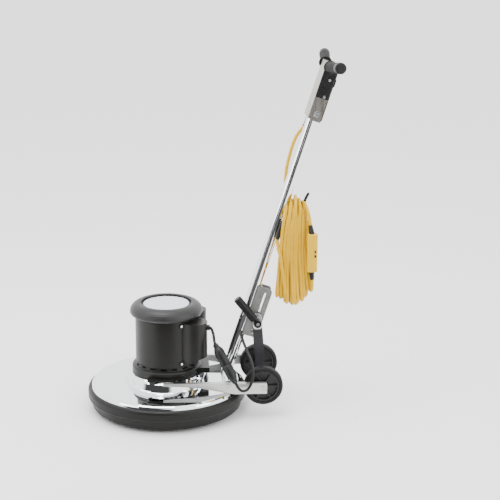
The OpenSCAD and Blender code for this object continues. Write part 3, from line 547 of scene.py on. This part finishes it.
paint(["pad_driver"], finish("driver_plastic", (0.05, 0.055, 0.06), 0.5, mottle=0.12, grain=800))
paint(["pad_retainer"], finish("retainer_plastic", (0.72, 0.47, 0.05), 0.35, mottle=0.06,
                               grain=900))
fibre = finish("pad_fibre", (0.055, 0.014, 0.011), 0.9, shine=0.2, mottle=0.35, patches=420,
               grain=900, bump=0.8, depth=0.0012)
PAD_SIDES = 360
low, high = (np.array(corner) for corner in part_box("pad"))
inner, rim, thick = 0.0417, high[0] - 0.0008, high[2] - 0.0008
section = np.array([[inner, 0.003], [inner + 0.003, 0.0006], [0.09, 0.0004], [0.14, 0.0006],
                    [0.18, 0.0004], [rim - 0.006, 0.0008], [rim - 0.002, 0.003], [rim, 0.008],
                    [rim, 0.014], [rim, 0.020], [rim - 0.003, thick - 0.001], [rim - 0.012, thick],
                    [0.17, thick], [0.12, thick], [0.07, thick], [inner + 0.003, thick],
                    [inner, thick - 0.003]])
a = np.arange(PAD_SIDES) * 2 * np.pi / PAD_SIDES
tufts = np.random.default_rng(3).uniform(-0.0004, 0.0004, (len(section), PAD_SIDES, 3))
circle = np.stack([np.cos(a), np.sin(a), np.zeros(PAD_SIDES)], 1)
rings = section[:, 0, None, None] * circle + section[:, 1, None, None] * np.array([0, 0, 1.0])
pad = dress(skin("fibre_pad", rings + tufts, closed=True), fibre, "pad_fibre", "spindle", "pad")


# ---- arms, axle and wheels ----
# Folded steel arms with a bead-blasted finish carry the pivot shaft and the axle. The wheels have
# moulded hubs, whose six openings end at a thin web, and solid rubber tyres with fine grooves.

paint(["left_arm", "right_arm"], finish("arm_steel", (0.55, 0.55, 0.535), 0.36, metal=0.85,
                                        mottle=0.05, patches=60, grain=1500, bump=0.15,
                                        depth=0.0003))
paint(["pivot_shaft", "axle", "axle_spacers"], finish("axle_steel", (0.46, 0.46, 0.47), 0.30,
                                                      metal=1.0, mottle=0.08, grain=900,
                                                      stretch=(1, 8, 1)))
tyre_rubber = finish("tyre_rubber", (0.006, 0.006, 0.006), 0.5, shine=0.2, mottle=0.25, patches=60,
                     grain=600, bump=0.25, depth=0.0005)
hub_grey = finish("hub_plastic", (0.014, 0.014, 0.014), 0.42, shine=0.3, mottle=0.12,
                  patches=60, grain=1000, bump=0.15)
WHEEL_SIDES, GROOVES = 96, 5
paint(["left_hub", "right_hub"], hub_grey)
for side_name in ("left", "right"):
    low, high = (np.array(corner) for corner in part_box(f"{side_name}_tyre"))
    centre, radius, half = (low + high) / 2, (high[2] - low[2]) / 2, (high[1] - low[1]) / 2
    across_tread = np.linspace(-half + 0.005, half - 0.005, 49)
    grooves = 0.0007 * (np.cos(across_tread / (2 * half - 0.010) * GROOVES * 2 * np.pi) < -0.6)
    shoulder = np.array([[-half + 0.0030, radius - 0.013], [-half + 0.0004, radius - 0.0115],
                         [-half, radius - 0.010], [-half, radius - 0.006],
                         [-half + 0.0010, radius - 0.003], [-half + 0.003, radius - 0.0010]])
    outline = np.vstack([shoulder, np.stack([across_tread, radius - grooves], 1),
                         shoulder[::-1] * [-1, 1]])
    a = np.arange(WHEEL_SIDES) * 2 * np.pi / WHEEL_SIDES
    circle = np.stack([np.cos(a), np.zeros(WHEEL_SIDES), np.sin(a)], 1)
    rings = centre + outline[:, 1, None, None] * circle + outline[:, 0, None, None] * RIGHT
    dress(skin(f"{side_name}_tread", rings, closed=True), tyre_rubber, "tyre_rubber",
          f"{side_name}_wheel", f"{side_name}_tyre")
    web = np.array([[-0.0036, 0.0152], [-0.0040, 0.0170], [-0.0034, 0.0190], [-0.0034, 0.0400],
                    [-0.0042, 0.0425], [-0.0042, 0.0443], [0.0042, 0.0443], [0.0042, 0.0425],
                    [0.0034, 0.0400], [0.0034, 0.0190], [0.0040, 0.0170], [0.0036, 0.0152]])
    rings = centre + web[:, 1, None, None] * circle + web[:, 0, None, None] * RIGHT
    dress(skin(f"{side_name}_web", rings, closed=True), hub_grey, "hub_plastic",
          f"{side_name}_wheel")


# ---- handle ----
# Chromed steel tube with a slotted bracket welded behind it, a folded steel head with moulded side
# panels and a rear cover, and rubber grips pushed on the handlebar's ends.

paint(["handle_tube"], finish("tube_chrome", (0.84, 0.85, 0.87), 0.05, metal=1.0, mottle=0.02,
                              patches=12, grain=300, bump=0.02, depth=0.0002, wear=0.02))
paint(["slotted_bracket"], finish("bracket_steel", (0.27, 0.27, 0.265), 0.38, metal=0.9,
                                  mottle=0.10, patches=50, grain=1200, bump=0.15))
paint(["head_channel"], finish("head_steel", (0.34, 0.32, 0.29), 0.28, metal=1.0, mottle=0.05,
                               patches=40, grain=900, bump=0.12, stretch=(1, 1, 0.08)))
gloss_black = finish("head_plastic", (0.006, 0.006, 0.006), 0.32, shine=0.35, mottle=0.15,
                     patches=40, grain=1200, bump=0.12)
paint(["head_side_panels", "head_rear_cover", "left_trigger", "right_trigger", "reset_button"],
      gloss_black)
paint(["grip_bar"], finish("bar_steel", (0.38, 0.38, 0.39), 0.32, metal=1.0, mottle=0.08))
paint(["switch_block"], finish("switch_plastic", (0.03, 0.08, 0.30), 0.35, mottle=0.08))
paint(["lock_button"], finish("button_red", (0.58, 0.02, 0.015), 0.3, mottle=0.06))

GRIP_END, SWEEP, BACK = 0.200, np.arctan2(20, 160), np.arctan2(10, 160)
GRIP_FROM, GRIP_CAP, GRIP_RIBS = 0.068, 0.034, 36
grip_rubber = finish("grip_rubber", (0.0075, 0.0075, 0.0075), 0.48, shine=0.25, mottle=0.15,
                     patches=50, grain=900, bump=0.3, depth=0.0004)
grip_root = on_handle([-0.011, 0, 1.028])[0]
reach = GRIP_END / np.cos(SWEEP)
for side_name, hand in (("left", -1), ("right", 1)):
    out = (np.cos(SWEEP) * np.sin(BACK) * BEHIND + hand * np.cos(SWEEP) * np.cos(BACK) * RIGHT
           + np.sin(SWEEP) * ALONG)
    flange = np.array([[0.0590, 0.0130], [0.0590, 0.0196], [0.0600, 0.0205], [0.0620, 0.0205],
                       [0.0630, 0.0196], [0.0640, 0.0172], [0.0660, 0.0161]])
    d = np.linspace(GRIP_FROM, reach - GRIP_CAP, GRIP_RIBS * 6 + 1)
    turns = (d - GRIP_FROM) / (reach - GRIP_FROM - GRIP_CAP) * GRIP_RIBS
    ribs = np.stack([d, 0.0158 + 0.0003 * np.cos(turns * 2 * np.pi)], 1)
    a = np.linspace(0, np.pi / 2, 7)[:-1]
    tip = np.stack([reach - 0.004 + 0.004 * np.sin(a), 0.013 + 0.004 * np.cos(a)], 1)
    outline = np.vstack([flange, ribs, [[reach - 0.032, 0.0162], [reach - 0.030, 0.0170]], tip,
                         [[reach, 0.0085], [reach - 0.0004, 0.0080], [reach - 0.0004, 0.0004]]])
    dress(turned(f"{side_name}_grip_sleeve", grip_root, grip_root + out, outline, 64), grip_rubber,
          "grip_rubber", "handle", f"{side_name}_grip")


# ---- cord hook ----
# A steel rod bent up at its end and welded to a plate behind the tube, in gloss black paint.

HOOK_RADIUS = 0.0045
hook_black = finish("hook_paint", (0.006, 0.006, 0.006), 0.3, shine=0.35, mottle=0.15, patches=60,
                    grain=900)
hook_route = [[0.3755, 0, 0.641], [0.390, 0, 0.6407], [0.410, 0, 0.6403], [0.4255, 0, 0.640],
              [0.4305, 0, 0.6425], [0.4325, 0, 0.648], [0.4352, 0, 0.664], [0.4375, 0, 0.676],
              [0.4395, 0, 0.6822], [0.4435, 0, 0.691], [0.4490, 0, 0.7010], [0.4503, 0, 0.7034]]
hook_path = even(smooth(hook_route, 6), 0.0018)[0]
to_tip = np.linalg.norm(hook_path - hook_path[-1], axis=1)
short_of_dome = np.clip(1 - to_tip / HOOK_RADIUS, 0, 1)
hook_radii = HOOK_RADIUS * np.sqrt(np.clip(1 - short_of_dome ** 2, 0.02, 1))
dress(tube("hook_rod", hook_path, hook_radii, 20), hook_black, "hook_paint", "handle",
      "cord_hook")
dress(block("hook_plate", on_handle([0.0185, 0, 0.559])[0], (RIGHT, ALONG, BEHIND),
            (0.009, 0.014, 0.0022), 0.002, 0.0008), hook_black, "hook_paint", "handle")


# ---- handle lock ----
# The strut is folded steel in dark paint with a zinc-plated plate at its top. A zinc-plated clamp
# bolt with a moulded lever grips the bracket between the strut's cheeks.

paint(["strut"], finish("strut_paint", (0.028, 0.028, 0.030), 0.36, shine=0.25, mottle=0.12,
                        patches=30, grain=800, bump=0.15))
AXLE, CLAMP = np.array([0.3045, 0.0, 0.1035]), np.array([0.2891, 0.0, 0.2893])
up_strut = (CLAMP - AXLE) / np.linalg.norm(CLAMP - AXLE)
zinc = finish("clamp_zinc", (0.62, 0.62, 0.63), 0.26, metal=1.0, mottle=0.08, patches=100)
paint(["clamp_bolt"], zinc)
dress(block("strut_top_plate", CLAMP + 0.001 * up_strut - 0.0297 * RIGHT,
            (np.cross(RIGHT, up_strut), up_strut, RIGHT), (0.0148, 0.0265, 0.0004), 0.010, 0.0003),
      zinc, "clamp_zinc", "strut")
paint(["clamp_lever"], finish("lever_plastic", (0.004, 0.004, 0.004), 0.4, shine=0.2, mottle=0.15,
                              patches=50, grain=1000, bump=0.2))
